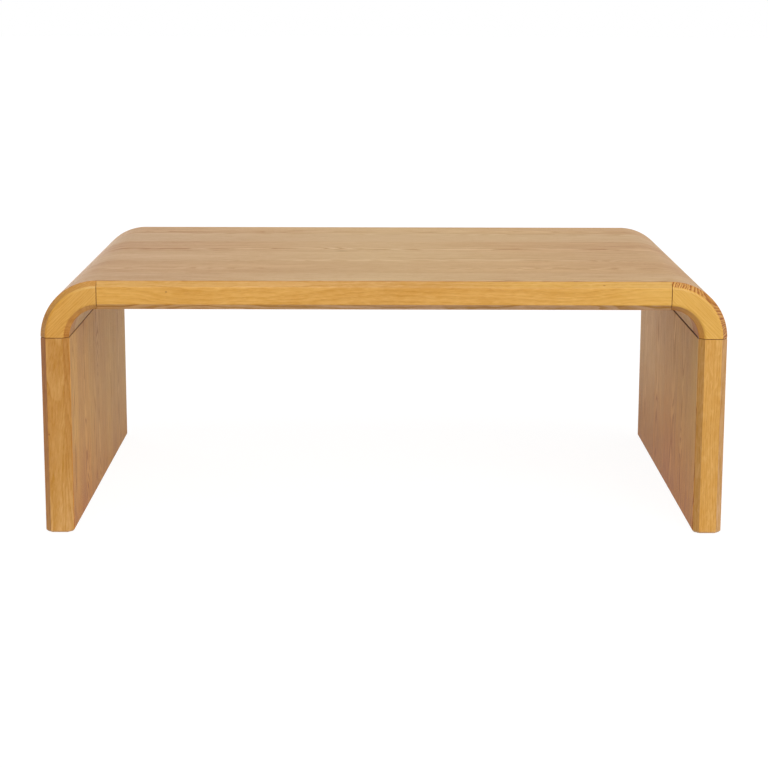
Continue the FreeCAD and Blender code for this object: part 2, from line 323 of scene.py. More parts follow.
def mark_wood(board, place, wood_at):
    """Writes the four attributes. Each function takes a face and a point on it."""
    grain = board.loops.layers.float_vector.new("grain")
    kind = board.loops.layers.float_vector.new("board")
    rings = board.loops.layers.float.new("rings")
    groove = board.loops.layers.float.new("groove")
    for face in board.faces:
        for corner in face.loops:
            point = corner.vert.co
            corner[grain] = place(face, point)
            looks = wood_at(face, point)
            corner[kind] = looks[:3]
            corner[rings] = looks[3]
            # groove is 1 in the depth of a seam, where the material paints the seam's shade dark, with some
            # dust.
            off_seam = to_seam(point) if abs(point.y) > joint_line else abs(point.z - seam_height)
            corner[groove] = max(0.0, 1 - off_seam / seam_ease)


print("a log place for the middle of a board:",
      cut_from_log((0, 0, 0), (1, 0, 0), (0, 0, 1), 0.05, 2)(None, Vector((0, 0, 0)))[:])

# %% [markdown]
# A finished piece becomes an object at the origin, with its place in its mesh. It rides on the table's only
# body, hides the CAD node that it stands for, and names the material slot that it takes. Faces are shaded
# smooth, but every edge sharper than ten degrees stays crisp, so bends are round and flats are flat.

# %% Turn a board into a piece of the table
pieces = {}


def fit(board, node, slot, ending):
    """Puts a finished board in the place of its CAD node."""
    bmesh.ops.recalc_face_normals(board, faces=board.faces)
    open_edges = sum(not edge.is_manifold for edge in board.edges)
    volume = board.calc_volume()
    mesh = bpy.data.meshes.new(node + ending)
    board.to_mesh(mesh)
    board.free()
    mesh.polygons.foreach_set("use_smooth", [True] * len(mesh.polygons))
    mesh.set_sharp_from_angle(angle=crisp_angle)
    piece = new_object(node + ending, mesh)
    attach(piece, "root")
    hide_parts(node)
    pieces[piece.name] = (piece, slot)
    print(piece.name, "faces", len(mesh.polygons), "open edges", open_edges, "cm3", round(volume * 1e6, 1))


print("ready to fit boards in place of", len(frame["nodes"]), "CAD nodes")

# %% [markdown]
# ## The lippings of the flat top
#
# These are the two long strips of solid oak along the front and rear edge, 1 metre long. The blank is 25 mm
# deep and as high as the core between its veneers. Two flats give it its chamfers, and the bevel softens the
# arrises and the ends, so that the seams at the bends read as fine dark lines.
#
# A board's colour drifts along its length. So its wood is given at a few stations, for the front face and for
# both chamfers, and `drift` blends between them. The flat strips get an extra cut at each station, so that
# there are corners to hold the values.

# %% Shape the top lippings
def drift(stations, values, measure):
    """Values of a board that change steadily between stations. Measure turns a point into its station."""
    values = [wood(value) for value in values]

    def wood_at(face, point):
        here = measure(point)
        for start, end, first, last in zip(stations, stations[1:], values, values[1:]):
            if here <= end:
                return first.lerp(last, max(0.0, (here - start) / (end - start)))
        return values[-1]

    return wood_at


def along_the_top(point):
    return point.x


def up_the_leg(point):
    return point.z


def lipping_box(front_or_rear):
    """The low and high Y of a lipping."""
    return (-half_depth, -glue_line) if front_or_rear == "front" else (glue_line, half_depth)


def depth_under_skin(point):
    """How deep a point lies under the table's outer skin."""
    if point.z < seam_height:
        return outer_face_x - abs(point.x)
    return outer_radius - math.hypot(max(0.0, abs(point.x) - bend_axis_x), point.z - seam_height)


steeper_than_chamfer, upright = 0.75, 0.999  # how squarely a face looks forwards


def by_face(front, outer, inner, arris=None):
    """Joins the functions of a lipping's front face and its two chamfers into one. The rounded arris between
    the front and the outer chamfer may have its own colour, a painted highlight on some pieces and a painted
    shade on others."""
    def wood_at(face, point):
        is_outer = depth_under_skin(face.calc_center_median()) < panel / 2
        if abs(face.normal.y) > steeper_than_chamfer:
            on_arris = arris and is_outer and abs(face.normal.y) < upright
            return (arris if on_arris else front)(face, point)
        return (outer if is_outer else inner)(face, point)

    return wood_at


def finish_lipping(board, node, log, stations, measure, woods):
    """Marks a lipping's woods, which are lists with a wood for each station, and fits it."""
    mark_wood(board, log, by_face(**{part: drift(stations, row, measure) for part, row in woods.items()}))
    fit(board, node, "solid_oak", "_wood")


halfway = 0.25
top_stations = (-bend_axis_x, -halfway, 0, halfway, bend_axis_x)


def shape_top_lipping(where, log, **woods):
    low_y, high_y = lipping_box(where)
    board = blank(
        (-bend_axis_x, low_y, underside_height + veneer), (bend_axis_x, high_y, table_height - veneer))
    plane_to(board, top_flats)
    round_arrises(board)
    ease_ends(board)
    cut_at(board, top_stations[1:-1], 0)
    finish_lipping(board, "top_" + where + "_lipping", log, top_stations, along_the_top, woods)


front_log = cut_from_log(
    (0, -0.3875, 0.427), along=(1, 0, 0.006), bark=(0, -1, -0.45), from_heart=0.11, up_trunk=1.3)
pin_knots = [
    (front_log(None, Vector((-0.3785, -0.400, 0.4337))), 2.6 * MM, 2.2 * MM),
    (front_log(None, Vector((0.382, -0.396, 0.446))), 3.5 * MM, 1.6 * MM),
]
# The lower chamfer of the front lipping is greyer: partly its own wood and partly a painted sheen of the
# white floor, seen at a low angle.
shape_top_lipping(
    "front", front_log,
    front=[0.64, 0.48, 0.38, 0.58, 0.80],
    outer=[(0.70, 0, 0.4), (0.62, 0, 0.4), (0.45, 0, 0.4), (0.80, 0, 0.3), (0.90, 0, 0.4)],
    inner=[(0.48, 0.25, 0.6, 4), (0.46, 0.05, 0.7, 3), (0.25, 0, 0.9, 2), (0.30, 0, 1, 2), (0.32, 0, 1.2, 3)])
shape_top_lipping(
    "rear", cut_from_log(
        (0, 0.3875, 0.427), along=(1, 0, -0.01), bark=(0, 0.8, 0.5), from_heart=0.07, up_trunk=4.1),
    front=[0.50, 0.55, 0.60, 0.48, 0.42],
    outer=[(0.50, 0, 0.3), (0.60, 0, 0.3), (0.60, 0, 0.4), (0.50, 0.1, 0.2), (0.40, 0.2)],
    inner=[(0.45, 0.2, 0.4), (0.50, 0.1, 0.6), (0.55, 0, 0.6), (0.45, 0.1, 0.4), (0.35, 0.2, 0.2)])

# %% [markdown]
# ## The quarter-round blocks
#
# A lipping can't be bent through a radius of 50 mm, so the real ones are sawn out of a thick plank, with
# the grain straight and at 45 degrees. That is why the figure on the front of a bend runs diagonally, and
# why the growth rings cross its chamfer as stripes where the curve turns away from the grain.
#
# Here the section is six points joined into one face, and `spin` carries it round.

# %% Shape the bend lippings
def lipping_section(board, where):
    """The cross-section of a lipping, standing where the top meets the right bend."""
    low, high = underside_height + veneer, table_height - veneer
    corners = [
        (glue_line, low), (joint_line, low), (half_depth, underside_height + chamfer),
        (half_depth, table_height - chamfer), (joint_line, high), (glue_line, high),
    ]
    verts = [board.verts.new((bend_axis_x, DEPTH[where] * y, z)) for y, z in corners]
    return bmesh.ops.contextual_create(board, geom=verts)["faces"][0]


def up_the_bend(point):
    """0 at the seam with the leg, 1 at the seam with the flat top."""
    return 1 - math.atan2(abs(point.x) - bend_axis_x, point.z - seam_height) / QUARTER_TURN


block_x, block_y, block_z = 0.56, 0.3875, 0.41   # the middle of a block, on the right and at the rear
bend_stations = (0, 0.5, 1)


def shape_bend_lipping(side, where, bark, from_heart, up_trunk, sideways=0.0, slow=1.0, **woods):
    board = bmesh.new()
    turn_down(board, lipping_section(board, where), RIGHT, QUARTER_TURN)
    on_side(board, side)
    round_arrises(board)
    ease_ends(board)
    log = cut_from_log(
        (WAY[side] * block_x, DEPTH[where] * block_y, block_z), (1, 0, -WAY[side]), bark, from_heart,
        up_trunk, sideways, slow)
    finish_lipping(board, side + "_bend_" + where + "_lipping", log, bend_stations, up_the_bend, woods)


# The arris of the left front block is paler and greyer towards the top: a painted highlight. Lower down it is
# darker and more orange, a painted shade that takes the lamp's highlight off.
shape_bend_lipping(
    LEFT, "front", bark=(0.1, -1, 0), from_heart=0.09, up_trunk=2.2, sideways=0.05, slow=1.5,
    front=[(1, 0.62, 0.3, 1.8), (1, 0.52, 0.25, 1.8), (1, 0.45, 0.3, 1.8)],
    outer=[(0.00, 0.2), (0.25, 0.1), (0.30, 0.25)],
    inner=[(0.25, 0.8), (0.40, 0.6), (0.15, 0.2)],
    arris=[(0.7, 0.6), (0.8, 0.4), (1, 0, 0.6)])
shape_bend_lipping(
    RIGHT, "front", bark=(1, -1, 1), from_heart=0.12, up_trunk=5.4, slow=2.2,
    front=[(0.80, 0, 0, 1.8), (0.78, 0, 0, 1.8), (0.82, 0, 0, 1.8)],
    outer=[(0.12, 0.1, 0, 9), (0.22, 0.55, 0, 4), (0.34, 0.1, 0, 10)],
    inner=[(0.50, 0.6), (0.45, 0.4), (0.00, 0.6)])
shape_bend_lipping(
    LEFT, "rear", bark=(-1, 0.3, 1), from_heart=0.10, up_trunk=3.7,
    front=[0.55, 0.58, 0.60],
    outer=[(0.25, 0.4), (0.30, 0.4), (0.20, 0.3)],
    inner=[(0.20, 0.4), (0.35, 0.3), (0.30, 0.3)])
shape_bend_lipping(
    RIGHT, "rear", bark=(0, 1, 0.2), from_heart=0.08, up_trunk=6.1, sideways=0.04,
    front=[0.50, 0.48, 0.45],
    outer=[(0.10, 0.2), (0.20, 0.2), (0.25, 0.2)],
    inner=[(0.30, 0.5), (0.30, 0.5), (0.20, 0.3)])

# %% [markdown]
# ## The lippings of the legs
#
# The same strip again, standing up. Its arrises are rounded first, and then its foot is planed to the eased
# edge that runs round the whole leg. The left one at the front comes from a darker, more orange board, sawn
# nearly parallel to the rings. The arris between its front and its outer chamfer is coloured on its own,
# darker and more orange: painted shade that takes the lamp's highlight off that arris.

# %% Shape the leg lippings
middle_of_leg = 0.18
leg_stations = (foot_height, middle_of_leg, seam_height)


def shape_leg_lipping(side, where, log, **woods):
    low_y, high_y = lipping_box(where)
    board = blank((inner_face_x + veneer, low_y, foot_height), (outer_face_x - veneer, high_y, seam_height))
    plane_to(board, leg_flats)
    round_arrises(board)
    plane_to(board, foot_flats)
    ease_ends(board)
    on_side(board, side)
    cut_at(board, leg_stations[1:-1], 2)
    finish_lipping(board, side + "_leg_" + where + "_lipping", log, leg_stations, up_the_leg, woods)


left_log = cut_from_log(
    (-0.575, -0.3875, 0.18), along=(0.1, 0, 1), bark=(-0.2, -1, 0), from_heart=0.06, up_trunk=0.8,
    sideways=0.02)
pin_knots.append((left_log(None, Vector((-0.5885, -0.400, 0.180))), 2.6 * MM, 2.2 * MM))
# The arris of the left front leg is darker and more orange than its front: a painted shade that takes the
# lamp's highlight off that arris.
shape_leg_lipping(
    LEFT, "front", left_log,
    front=[(0.36, 0, 0.45, 1.2), (0.13, 0, 0, 1.6), (0.15, 0, 0, 1.2)],
    outer=[(0.20, 0.35), (0.15, 0.9), (0, 1, 0.2)],
    inner=[(0.40, 0, 0.5), (0.15, 0.1), (0.10, 0.25)],
    arris=[(0.20, 0.3), (0.05, 0.3), (0, 0.4)])
# Its outer chamfer is greyer: partly its own wood and partly a painted sheen, seen at a low angle.
shape_leg_lipping(
    RIGHT, "front", cut_from_log(
        (0.575, -0.3875, 0.18), along=(0.01, 0, 1), bark=(1, -0.5, 0), from_heart=0.13, up_trunk=2.9),
    front=[(0.42, 0, 0.1), (0.36, 0, 0.05), (0.45, 0, 0.1)],
    outer=[(0.44, 0, 0.9), (0.28, 0, 0.7), (0.22, 0, 0.5)],
    inner=[(0.37, 0, 0.42), (0.24, 0, 0.1), (0.27, 0, 0.2)])
shape_leg_lipping(
    LEFT, "rear", cut_from_log(
        (-0.57, 0.3875, 0.18), along=(-0.01, 0, 1), bark=(-1, 0.7, 0), from_heart=0.09, up_trunk=5.0),
    front=[(0.40, 0, 0.1), 0.42, 0.45],
    outer=[(0.30, 0.2), (0.25, 0.2), (0.30, 0.3)],
    inner=[(0.35, 0.1, 0.2), (0.30, 0.1, 0.1), (0.30, 0.2)])
shape_leg_lipping(
    RIGHT, "rear", cut_from_log(
        (0.57, 0.3875, 0.18), along=(0.03, 0, 1), bark=(0.3, 1, 0), from_heart=0.07, up_trunk=6.6,
        sideways=-0.02),
    front=[0.30, 0.35, 0.40],
    outer=[(0.20, 0.2), (0.25, 0.3), (0.20, 0.3)],
    inner=[(0.30, 0.1, 0.1), (0.30, 0.1), (0.35, 0.2)])

# %% [markdown]
# ## The veneers
#
# Veneer is oak sliced to 0.6 mm. The sheet over the top is laid up from six leaves that run the whole length
# of the table and on over both bends, with no seam until it stops just above the legs. Each leaf is its own
# slice of a log, so neighbours differ a little in tone and in how far from the heart they were cut.
#
# The sheet starts as the flat middle part. Its end faces are carried round the bends with `spin`, and one
# `bisect_plane` for each joint divides it into leaves.

# %% Lay out the leaves of a veneer
sloping, soaked_edge = 0.5, (0, 1, 0)


def lay_up(leaves, along_grain, fade):
    """Gives the grain and board functions of a sheet. A leaf is its far edge in Y, the distance of its middle
    from the heart, how far sideways of the heart it was sliced, its height up the trunk, and its wood. Fade
    gives what is added to every leaf's wood along the sheet, on some sheets painted light and shade, and the
    cut edges take up more lacquer."""
    starts = [-half_depth] + [leaf[0] for leaf in leaves[:-1]]
    woods = [wood(leaf[4]) for leaf in leaves]

    def leaf_at(face):
        depth = face.calc_center_median().y
        return next((i for i, leaf in enumerate(leaves) if depth < leaf[0]), len(leaves) - 1)

    def place(face, point):
        index = leaf_at(face)
        edge, from_heart, sideways, up_trunk, _ = leaves[index]
        middle = (starts[index] + edge) / 2
        return Vector((along_grain(point) + up_trunk, point.y - middle + sideways, from_heart))

    def wood_at(face, point):
        leaf = woods[leaf_at(face)]
        looks = leaf + fade(face, point)
        looks.w = leaf.w
        if abs(face.normal.y) > sloping:
            looks.xyz = soaked_edge
        return looks

    return place, wood_at


def divide(board, leaves):
    for leaf in leaves[:-1]:
        bmesh.ops.bisect_plane(
            board, geom=everything(board), plane_co=(0, leaf[0], 0), plane_no=(0, 1, 0))


def length_round_bend(radius):
    """Distance along a sheet from the middle of the table, over the flat and round the bend."""
    def along(point):
        beyond = abs(point.x) - bend_axis_x
        if beyond <= 0:
            return point.x
        angle = math.atan2(beyond, point.z - seam_height)
        return math.copysign(bend_axis_x + radius * angle, point.x)

    return along


sheet_length = 2 * (bend_axis_x + outer_radius * QUARTER_TURN) - sum(sheet_gaps.values())
print("the outer sheet is", round(sheet_length, 3), "m long")

# %% [markdown]
# Only the sheet's two long edges are softened, where it meets the chamfer of the lipping. They are found by
# their place: they lie outside the start of the chamfer, and on the face that shows.

# %% Shape the veneers of the top
def long_arrises(board, face_distance):
    """The edges where the face of a sheet that shows meets its sloping sides. The function gives how far a
    point lies from that face."""
    return [
        edge for edge in board.edges
        if edge.calc_face_angle(0) > math.radians(30)
        and all(abs(vert.co.y) > chamfer_start - near_edge and abs(face_distance(vert.co)) < near_edge
                for vert in edge.verts)
    ]


arch_stations = (-outer_face_x, *top_stations, outer_face_x)


def shape_arch_veneer(node, low_z, high_z, radius, fade, leaves):
    board = blank((-bend_axis_x, -half_depth, low_z), (bend_axis_x, half_depth, high_z))
    plane_to(board, top_flats)
    board.faces.ensure_lookup_table()
    for side in (RIGHT, LEFT):
        end = max(board.faces, key=lambda face: WAY[side] * face.calc_center_median().x)
        turn_down(board, end, side, QUARTER_TURN - sheet_gaps[side] / radius)
    bmesh.ops.remove_doubles(board, verts=board.verts, dist=touching)
    bmesh.ops.recalc_face_normals(board, faces=board.faces)

    def under_face(point):
        beyond = max(0.0, abs(point.x) - bend_axis_x)
        return math.hypot(beyond, point.z - seam_height) - radius

    soften(board, long_arrises(board, under_face), veneer_arris, segments=1)
    divide(board, leaves)
    cut_at(board, top_stations[1:-1], 0)
    mark_wood(board, *lay_up(leaves, length_round_bend(radius), drift(arch_stations, fade, along_the_top)))
    fit(board, node, "oak_veneer", "_sheet")


# The sheet's drift along the table paints light: its middle is paler, where the top is lit most, and its ends
# over the bends are greyer and darker, a painted sheen and shade where the bends turn away at a low angle.
# Every leaf is greyed too, partly its own paler colour and partly a painted sheen of the top.
shape_arch_veneer("outer_veneer", table_height - veneer, table_height, outer_radius, [
    (0, 0.6, 0.4), (0.05, 0.22, 0.32), (0.1, 0.1, 0.1), 0.3, (0.05, 0.06), (0, 0.13, 0.1), (0, 0.35, 0.4)], [
    (-0.290, 0.080, 0.05, 1.0, (0.70, 0, 0.62)),
    (-0.135, 0.060, 0.02, 2.6, (0.60, 0.12, 0.6)),
    (0.000, 0.090, 0.07, 3.9, (0.72, 0, 0.6)),
    (0.150, 0.045, 0.04, 5.3, (0.60, 0.12, 0.65, 3)),
    (0.280, 0.075, -0.06, 6.8, (0.95, 0, 0.65)),
    (half_depth, 0.065, 0.03, 8.2, (0.62, 0.08, 0.6)),
])
pin_knots.append((Vector((5.219, -0.026, 0.045)), 16 * MM, 6 * MM))
# The drift of this sheet paints light and shade: it is paler under the left bend, which faces the light from
# the right and off the floor, and darker under the right bend. Its first leaf, along the front edge, is
# darker and more orange than the rest.
shape_arch_veneer("inner_veneer", underside_height, underside_height + veneer, inner_radius, [
    (0.45, 0.35), 0.1, 0, 0, 0, -0.5, 0.05], [
    (-0.325, 0.070, 0.04, 1.7, (0.36, 0.72, 0.3)),
    (-0.210, 0.070, 0.04, 1.7, (0.90, 0, 0.3)),
    (-0.110, 0.055, -0.02, 3.1, (0.72, 0, 0.3)),
    (0.060, 0.085, 0.02, 4.4, (0.50, 0, 0.4)),
    (0.200, 0.050, 0.06, 5.9, (0.66, 0, 0.4)),
    (half_depth, 0.075, -0.04, 7.3, (0.56, 0, 0.4)),
])

# %% [markdown]
# The legs have a sheet on each face, with the grain upright, because the slab is meant to look bent. Their
# blanks are planed to the same flats as the lippings, and stop just under the seam.

# %% Shape the veneers of the legs
low_on_leg = 0.05
sheet_stations = (foot_height, low_on_leg, middle_of_leg, seam_height)


def shape_leg_veneer(side, face, fade, leaves):
    if face == "inner":
        low_x, high_x, face_x = inner_face_x, inner_face_x + veneer, inner_face_x
    else:
        low_x, high_x, face_x = outer_face_x - veneer, outer_face_x, outer_face_x
    board = blank((low_x, -half_depth, foot_height), (high_x, half_depth, seam_height - sheet_gaps[side]))
    plane_to(board, leg_flats + foot_flats)
    soften(board, long_arrises(board, lambda point: point.x - face_x), veneer_arris, segments=1)
    divide(board, leaves)
    on_side(board, side)
    cut_at(board, sheet_stations[1:-1], 2)
    mark_wood(board, *lay_up(leaves, lambda point: -point.z, drift(sheet_stations, fade, up_the_leg)))
    fit(board, side + "_leg_" + face + "_veneer", "oak_veneer", "_sheet")


# Painted shade: the inner sheets turn darker and more orange towards the foot, where less light reaches near
# the floor.
shape_leg_veneer(LEFT, "inner", [(-0.12, 0.8), (-0.10, 0.4), 0, 0.05], [
    (-0.260, 0.050, 0.02, 1.2, (0.28, 0, 0, 2)),
    (-0.160, 0.080, 0.00, 2.3, (0.29, 0, 0, 2)),
    (-0.080, 0.065, -0.04, 3.4, (0.40, 0, 0, 1.5)),
    (0.070, 0.060, 0.03, 4.6, (0.44, 0, 0.05, 1.8)),
    (0.240, 0.045, 0.01, 5.7, (0.52, 0, 0.1, 1.5)),
    (half_depth, 0.075, 0.05, 6.9, (0.54, 0, 0.15, 1.5)),
])
# Painted shade here too: darker and more orange towards the foot.
shape_leg_veneer(RIGHT, "inner", [(-0.15, 1), (-0.15, 0.7), (-0.05, 0.05), (0.14, 0, 0.1)], [
    (-0.290, 0.070, 0.05, 1.9, (0.36, 0, 0, 2)),
    (-0.160, 0.050, 0.00, 3.0, (0.35, 0, 0, 2)),
    (0.010, 0.085, 0.04, 4.2, (0.33, 0, 0.1, 1.8)),
    (0.150, 0.060, -0.03, 5.1, (0.39, 0, 0.2, 2)),
    (0.215, 0.070, 0.06, 6.4, (0.44, 0, 0.35, 2)),
    (half_depth, 0.055, 0.02, 7.7, (0.42, 0, 0.40, 1.5)),
])
outer_fade = [(-0.15, 0.4, 0.2), (-0.1, 0.35, 0.3), (0, 0.3, 0.4), (0, 0.35, 0.5)]
shape_leg_veneer(LEFT, "outer", outer_fade, [
    (-0.230, 0.060, 0.01, 2.1, (0.50, 0, 0.3)),
    (-0.060, 0.080, 0.05, 3.6, (0.62, 0, 0.3)),
    (0.110, 0.050, -0.02, 4.9, (0.46, 0, 0.4)),
    (0.250, 0.070, 0.04, 6.2, (0.66, 0, 0.4)),
    (half_depth, 0.060, -0.05, 7.5, (0.54, 0, 0.4)),
])
shape_leg_veneer(RIGHT, "outer", outer_fade, [
    (-0.210, 0.075, 0.03, 1.4, (0.60, 0, 0.4)),
    (-0.050, 0.055, -0.01, 2.8, (0.46, 0, 0.3)),
    (0.090, 0.065, 0.05, 4.0, (0.66, 0, 0.3)),
    (0.260, 0.050, 0.02, 5.5, (0.50, 0, 0.4)),
    (half_depth, 0.080, -0.04, 8.8, (0.58, 0, 0.4)),
])

# %% [markdown]
# ## The glides
#
# Three plastic glides stand under each leg and close the recess of a bolt. Each is turned, so half of its
# outline is drawn as a few points, and `spin` turns it a full circle. The outline starts and ends on the
# axis, and the doubles there are merged.

# %% Turn the glides
spigot_radius, spigot_ease, glide_ease = 9.4 * MM, 1 * MM, 0.6 * MM


def shape_glides(side):
    node = side + "_leg_glides"
    low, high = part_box(node)
    disc_radius = (high.x - low.x) / 2
    first, last = low.y + disc_radius, high.y - disc_radius
    outline = [
        (0, 0), (disc_radius - 3 * glide_ease, 0), (disc_radius - glide_ease, 0.3 * glide_ease),
        (disc_radius, 1.6 * glide_ease), (disc_radius, foot_height), (spigot_radius, foot_height),
        (spigot_radius, high.z - spigot_ease), (spigot_radius - spigot_ease, high.z), (0, high.z),
    ]
    board = bmesh.new()
    for depth in (first, (first + last) / 2, last):
        axis = Vector(((low.x + high.x) / 2, depth, 0))
        points = [board.verts.new(axis + Vector((radius, 0, height))) for radius, height in outline]
        edges = [board.edges.new(pair) for pair in zip(points, points[1:])]
        bmesh.ops.spin(
            board, geom=points + edges, cent=axis, axis=(0, 0, 1), dvec=(0, 0, 0), angle=2 * math.pi,
            steps=round_steps, use_merge=True, use_duplicate=False)
    bmesh.ops.remove_doubles(board, verts=board.verts, dist=touching)
    fit(board, node, "glide_plastic", "_turned")


for side in WAY:
    shape_glides(side)

# %% [markdown]
# ## Nodes for the materials
#
# A material is a net of nodes. Small helpers keep the nets readable: `add` makes a node and fills or links
# its sockets, `calc` and `vector` do one step of arithmetic, and `start_group` starts a node group with named
# sockets. The others are short names for what the nets use most.

# %% Helpers for node trees
def plug(tree, source, socket):
    """Links a socket, or fills it with a plain value."""
    if isinstance(source, bpy.types.NodeSocket):
        tree.links.new(source, socket)
    else:
        socket.default_value = source


def add(tree, kind, inputs=(), **options):
    """Adds a shader node. Inputs pairs a socket's name or number with a link or a value."""
    node = tree.nodes.new("ShaderNode" + kind)
    for name, value in options.items():
        setattr(node, name, value)
    for name, source in dict(inputs).items():
        plug(tree, source, node.inputs[name])
    return node


def calc(tree, operation, *values):
    """One step of arithmetic on numbers."""
    return add(tree, "Math", enumerate(values), operation=operation).outputs[0]


def vector(tree, operation, *values):
    """One step of arithmetic on vectors. A length and a dot product are numbers."""
    node = add(tree, "VectorMath", enumerate(values), operation=operation)
    return node.outputs["Value" if operation in ("LENGTH", "DOT_PRODUCT") else "Vector"]


def scaled(tree, value, factor):
    return add(tree, "VectorMath", {0: value, "Scale": factor}, operation="SCALE").outputs[0]


def stretch(tree, place, scale):
    """Multiplies a place, so that a pattern gets its own size along and across the grain."""
    return vector(tree, "MULTIPLY", place, scale)


def noise(tree, place, detail=2.0, roughness=0.5):
    node = add(tree, "TexNoise", {"Vector": place, "Scale": 1.0, "Detail": detail, "Roughness": roughness})
    return node.outputs["Fac"]


def sway(tree, place, detail):
    """A noise in three directions around zero, to move places with."""
    node = add(tree, "TexNoise", {"Vector": place, "Scale": 1.0, "Detail": detail})
    return vector(tree, "SUBTRACT", node.outputs["Color"], (0.5, 0.5, 0.5))


def ramp(tree, value, start, end, low=0.0, high=1.0):
    """Turns a range of values into another, with soft ends."""
    return add(tree, "MapRange", {
        "Value": value, "From Min": start, "From Max": end, "To Min": low, "To Max": high,
    }, interpolation_type="SMOOTHSTEP").outputs["Result"]


def blend_colour(tree, factor, first, second):
    return add(tree, "Mix", {"Factor": factor, 6: first, 7: second}, data_type="RGBA").outputs[2]


def tinted(tree, factor, colour, tint):
    """Multiplies a colour by a tint, as far as the factor says."""
    return blend_colour(tree, factor, colour, stretch(tree, colour, tint))


def object_place(tree):
    return add(tree, "TexCoord").outputs["Object"]


def start_group(name, inputs, outputs):
    """Makes a node group. Inputs are names, socket types and defaults. Outputs are names and types."""
    group = bpy.data.node_groups.new(name, "ShaderNodeTree")
    for label, kind, default in inputs:
        socket = group.interface.new_socket(label, in_out="INPUT", socket_type="NodeSocket" + kind)
        if default is not None:
            socket.default_value = default
    for label, kind in outputs:
        group.interface.new_socket(label, in_out="OUTPUT", socket_type="NodeSocket" + kind)
    return group, group.nodes.new("NodeGroupInput").outputs, group.nodes.new("NodeGroupOutput").inputs


def use_group(tree, group, inputs):
    return add(tree, "Group", inputs, node_tree=group).outputs


print("node helpers ready")

# %% [markdown]
# ### Growth rings
#
# A ring is a shell round the heart, so its number is the distance from the heart divided by the ring's
# width. A slow noise moves the heart about along the trunk, because no tree is straight: where a board is
# sawn nearly parallel to the rings, that alone draws the pointed arches of a crown-cut board. The first
# part of each ring is spring wood, coarse and darker, and it starts sharply and fades out.

# %% Group for growth rings
rings_group, given, result = start_group(
    "growth_rings",
    [("Grain", "Vector", None), ("Ring Width", "Float", 0.003), ("Wander", "Float", 0.01)],
    [("Spring Wood", "Float"), ("From Heart", "Float")])
tree = rings_group
year_scale, year_share, uneven_share = 70.0, 3.0, 0.7   # how ring widths vary, slowly and along a ring

shift = scaled(tree, sway(tree, stretch(tree, given["Grain"], (3, 4, 4)), 1.5), given["Wander"])
distance = vector(tree, "LENGTH", stretch(tree, vector(tree, "ADD", given["Grain"], shift), (0, 1, 1)))
uneven = noise(tree, stretch(tree, given["Grain"], (5, 90, 90)))
year = calc(tree, "MULTIPLY", distance, year_scale)
wide_and_narrow = add(tree, "TexNoise", {"W": year, "Scale": 1.0}, noise_dimensions="1D").outputs["Fac"]
ring = calc(tree, "DIVIDE", distance, given["Ring Width"])
ring = calc(tree, "ADD", ring, calc(tree, "MULTIPLY", uneven, uneven_share))
ring = calc(tree, "ADD", ring, calc(tree, "MULTIPLY", wide_and_narrow, year_share))
part = calc(tree, "FRACT", ring)
spring = calc(tree, "MULTIPLY", ramp(tree, part, 0.0, 0.1), ramp(tree, part, 0.15, 0.75, 1.0, 0.0))
plug(tree, spring, result["Spring Wood"])
plug(tree, distance, result["From Heart"])
print("growth rings:", len(tree.nodes), "nodes")

# %% [markdown]
# ### Pores
#
# Oak's pores are open tubes, about a third of a millimetre wide, that a cut lays open as short dark dashes
# along the grain. They crowd in the spring wood. A noise that is stretched forty times along the grain, and
# cut off high, leaves such dashes.

# %% Group for pores
pores_group, given, result = start_group(
    "pores", [("Grain", "Vector", None), ("Spring Wood", "Float", 0.5)], [("Pore", "Float")])
tree = pores_group
pore_scale, in_spring_wood, elsewhere = (75, 2400, 2400), 0.9, 0.1
dashes = ramp(tree, noise(tree, stretch(tree, given["Grain"], pore_scale), detail=1.0), 0.54, 0.64)
crowding = calc(tree, "MULTIPLY_ADD", given["Spring Wood"], in_spring_wood, elsewhere)
plug(tree, calc(tree, "MULTIPLY", dashes, crowding), result["Pore"])
print("pores:", len(tree.nodes), "nodes")

# %% [markdown]
# ### Rays
#
# Rays are thin sheets of cells that stand out from the heart like spokes. On a face sawn along a spoke they
# show as pale, shiny flecks; on a face sawn along a ring they are short thin lines. One noise in round
# coordinates gives both: thin in the angle round the heart, long outwards and along the trunk.

# %% Group for rays
rays_group, given, result = start_group(
    "rays", [("Grain", "Vector", None), ("From Heart", "Float", 0.05)], [("Fleck", "Float")])
tree = rays_group
along_scale, round_scale, outward_scale, waviness = 60.0, 75.0, 70.0, 0.12
parts = add(tree, "SeparateXYZ", {0: given["Grain"]}).outputs
angle = calc(tree, "ARCTAN2", parts[1], parts[2])
wave = noise(tree, stretch(tree, given["Grain"], (18, 25, 25)))
waved = calc(tree, "ADD", angle, calc(tree, "MULTIPLY", wave, waviness))
spokes = add(tree, "CombineXYZ", {
    0: calc(tree, "MULTIPLY", parts[0], along_scale), 1: calc(tree, "MULTIPLY", waved, round_scale),
    2: calc(tree, "MULTIPLY", given["From Heart"], outward_scale)}).outputs[0]
plug(tree, ramp(tree, noise(tree, spokes, detail=1.0), 0.56, 0.68), result["Fleck"])
print("rays:", len(tree.nodes), "nodes")

